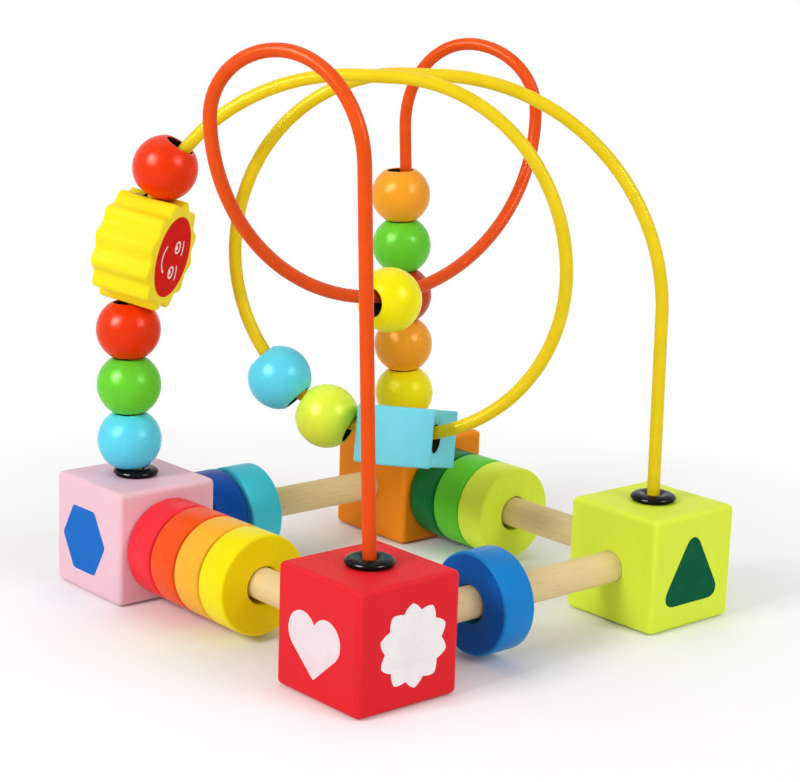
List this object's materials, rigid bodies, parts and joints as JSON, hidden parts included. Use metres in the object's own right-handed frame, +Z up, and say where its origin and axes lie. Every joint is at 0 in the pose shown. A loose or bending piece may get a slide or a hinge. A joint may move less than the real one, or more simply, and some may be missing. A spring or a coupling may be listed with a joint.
{
  "type": "wooden bead maze",
  "caption": "Wooden toy bead maze: painted corner blocks joined by round rails with sliding discs, and two bent coated wires strung with beads, a sun and a moon.",
  "frame": {"origin": "on the ground in the middle of the four blocks", "axes": "+Z up, +X from the red block to the lime block, +Y from the red block to the pink block"},
  "size_m": [0.1521, 0.15, 0.1742],
  "materials": {
    "bead_amber": "satin paint on wood",
    "bead_cyan": "satin paint on wood",
    "bead_dark_red": "satin paint on wood",
    "bead_green": "satin paint on wood",
    "bead_lime": "satin paint on wood",
    "bead_red": "satin paint on wood",
    "bead_yellow": "satin paint on wood",
    "beech": "bare sanded wood",
    "collar": "glossy black plastic",
    "disc_amber": "satin paint on wood",
    "disc_blue": "satin paint on wood",
    "disc_cyan": "satin paint on wood",
    "disc_dark_blue": "satin paint on wood",
    "disc_dark_green": "satin paint on wood",
    "disc_green": "satin paint on wood",
    "disc_lime": "satin paint on wood",
    "disc_orange_red": "satin paint on wood",
    "disc_red": "satin paint on wood",
    "disc_yellow": "satin paint on wood",
    "lime": "satin paint on wood",
    "moon": "satin paint on wood",
    "orange": "satin paint on wood",
    "pink": "satin paint on wood",
    "red": "satin paint on wood",
    "sun": "satin paint on wood",
    "wire_orange": "glossy plastic coating on steel wire",
    "wire_yellow": "glossy plastic coating on steel wire"
  },
  "bodies": {
    "frame": {"block_pink": "pink", "block_red": "red", "block_lime": "lime", "block_orange": "orange", "collar_pink": "collar", "collar_red": "collar", "collar_lime": "collar", "collar_orange": "collar", "rail_pink_red": "beech", "rail_red_lime": "beech", "rail_orange_lime": "beech", "rail_pink_orange": "beech", "wire_yellow": "wire_yellow", "wire_orange": "wire_orange"},
    "disc_red": {"disc_red": "disc_red"},
    "disc_orange_red": {"disc_orange_red": "disc_orange_red"},
    "disc_amber": {"disc_amber": "disc_amber"},
    "disc_yellow": {"disc_yellow": "disc_yellow"},
    "disc_blue": {"disc_blue": "disc_blue"},
    "disc_dark_green": {"disc_dark_green": "disc_dark_green"},
    "disc_green": {"disc_green": "disc_green"},
    "disc_lime": {"disc_lime": "disc_lime"},
    "disc_dark_blue": {"disc_dark_blue": "disc_dark_blue"},
    "disc_cyan": {"disc_cyan": "disc_cyan"},
    "bead_post_cyan": {"bead_post_cyan": "bead_cyan"},
    "bead_post_green": {"bead_post_green": "bead_green"},
    "bead_post_red": {"bead_post_red": "bead_red"},
    "bead_arch_red": {"bead_arch_red": "bead_red"},
    "sun_block": {"sun_block": "sun"},
    "bead_loop_lime": {"bead_loop_lime": "bead_lime"},
    "bead_loop_cyan": {"bead_loop_cyan": "bead_cyan"},
    "moon_block": {"moon_block": "moon"},
    "bead_dip_yellow": {"bead_dip_yellow": "bead_yellow"},
    "bead_back_yellow": {"bead_back_yellow": "bead_yellow"},
    "bead_back_amber": {"bead_back_amber": "bead_amber"},
    "bead_back_dark_red": {"bead_back_dark_red": "bead_dark_red"},
    "bead_back_green": {"bead_back_green": "bead_green"},
    "bead_back_orange": {"bead_back_orange": "bead_amber"}
  },
  "joints": [
    {"name": "disc_red_slide", "type": "slide", "parent": "frame", "child": "disc_red", "axis": [0, -1, 0], "range_m": [0, 0.00483]},
    {"name": "disc_orange_red_slide", "type": "slide", "parent": "disc_red", "child": "disc_orange_red", "axis": [0, -1, 0], "range_m": [-0.0004, 0.00483]},
    {"name": "disc_amber_slide", "type": "slide", "parent": "disc_orange_red", "child": "disc_amber", "axis": [0, -1, 0], "range_m": [-0.0004, 0.00483]},
    {"name": "disc_yellow_slide", "type": "slide", "parent": "disc_amber", "child": "disc_yellow", "axis": [0, -1, 0], "range_m": [-0.0004, 0.0145]},
    {"name": "disc_dark_green_slide", "type": "slide", "parent": "frame", "child": "disc_dark_green", "axis": [0, -1, 0], "range_m": [0, 0.01055]},
    {"name": "disc_green_slide", "type": "slide", "parent": "disc_dark_green", "child": "disc_green", "axis": [0, -1, 0], "range_m": [0, 0.01055]},
    {"name": "disc_lime_slide", "type": "slide", "parent": "disc_green", "child": "disc_lime", "axis": [0, -1, 0], "range_m": [0, 0.0211]},
    {"name": "disc_dark_blue_slide", "type": "slide", "parent": "frame", "child": "disc_dark_blue", "axis": [1, 0, 0], "range_m": [-0.0031, 0.0246]},
    {"name": "disc_cyan_slide", "type": "slide", "parent": "disc_dark_blue", "child": "disc_cyan", "axis": [1, 0, 0], "range_m": [-0.0019, 0.0246]},
    {"name": "disc_blue_slide", "type": "slide", "parent": "frame", "child": "disc_blue", "axis": [1, 0, 0], "range_m": [-0.0196, 0.0465]},
    {"name": "bead_post_cyan_spin", "type": "hinge", "parent": "frame", "child": "bead_post_cyan", "pos_m": [-0.0586, 0.0586, 0.04697], "axis": [-0.0092, 0.0092, 0.9999], "continuous": true},
    {"name": "bead_post_green_spin", "type": "hinge", "parent": "frame", "child": "bead_post_green", "pos_m": [-0.05876, 0.05876, 0.06447], "axis": [-0.0092, 0.0092, 0.9999], "continuous": true},
    {"name": "bead_post_red_spin", "type": "hinge", "parent": "frame", "child": "bead_post_red", "pos_m": [-0.05892, 0.05892, 0.08197], "axis": [-0.0092, 0.0092, 0.9999], "continuous": true},
    {"name": "sun_ride", "type": "hinge", "parent": "frame", "child": "sun_block", "pos_m": [-0.01412, 0.00484, 0.0937], "axis": [0.7716, 0.6361, 0], "range_deg": [0, 20]},
    {"name": "bead_arch_red_ride", "type": "hinge", "parent": "sun_block", "child": "bead_arch_red", "pos_m": [-0.01412, 0.00484, 0.0937], "axis": [0.7716, 0.6361, 0], "range_deg": [0, 22]},
    {"name": "bead_loop_lime_ride", "type": "hinge", "parent": "frame", "child": "bead_loop_lime", "pos_m": [-0.00064, 0.00064, 0.1058], "axis": [-0.8563, -0.5165, 0], "range_deg": [-14, 28]},
    {"name": "bead_loop_cyan_ride", "type": "hinge", "parent": "bead_loop_lime", "child": "bead_loop_cyan", "pos_m": [-0.00064, 0.00064, 0.1058], "axis": [-0.8563, -0.5165, 0], "range_deg": [-18, 0]},
    {"name": "moon_ride", "type": "hinge", "parent": "bead_loop_lime", "child": "moon_block", "pos_m": [-0.00064, 0.00064, 0.1058], "axis": [-0.8563, -0.5165, 0], "range_deg": [0, 30]},
    {"name": "bead_dip_yellow_ride", "type": "hinge", "parent": "frame", "child": "bead_dip_yellow", "pos_m": [-0.00193, 0.00193, 0.1878], "axis": [0.1277, -0.9918, 0], "range_deg": [-22, 22]},
    {"name": "bead_back_yellow_slide", "type": "slide", "parent": "frame", "child": "bead_back_yellow", "axis": [-0.0674, -0.0039, 0.9977], "range_m": [-0.0013, 0.00173]},
    {"name": "bead_back_amber_slide", "type": "slide", "parent": "bead_back_yellow", "child": "bead_back_amber", "axis": [-0.0674, -0.0039, 0.9977], "range_m": [0, 0.00173]},
    {"name": "bead_back_dark_red_slide", "type": "slide", "parent": "bead_back_amber", "child": "bead_back_dark_red", "axis": [-0.0674, -0.0039, 0.9977], "range_m": [0, 0.00173]},
    {"name": "bead_back_green_slide", "type": "slide", "parent": "bead_back_dark_red", "child": "bead_back_green", "axis": [-0.0674, -0.0039, 0.9977], "range_m": [0, 0.00173]},
    {"name": "bead_back_orange_slide", "type": "slide", "parent": "bead_back_green", "child": "bead_back_orange", "axis": [-0.0674, -0.0039, 0.9977], "range_m": [0, 0.00692]}
  ]
}
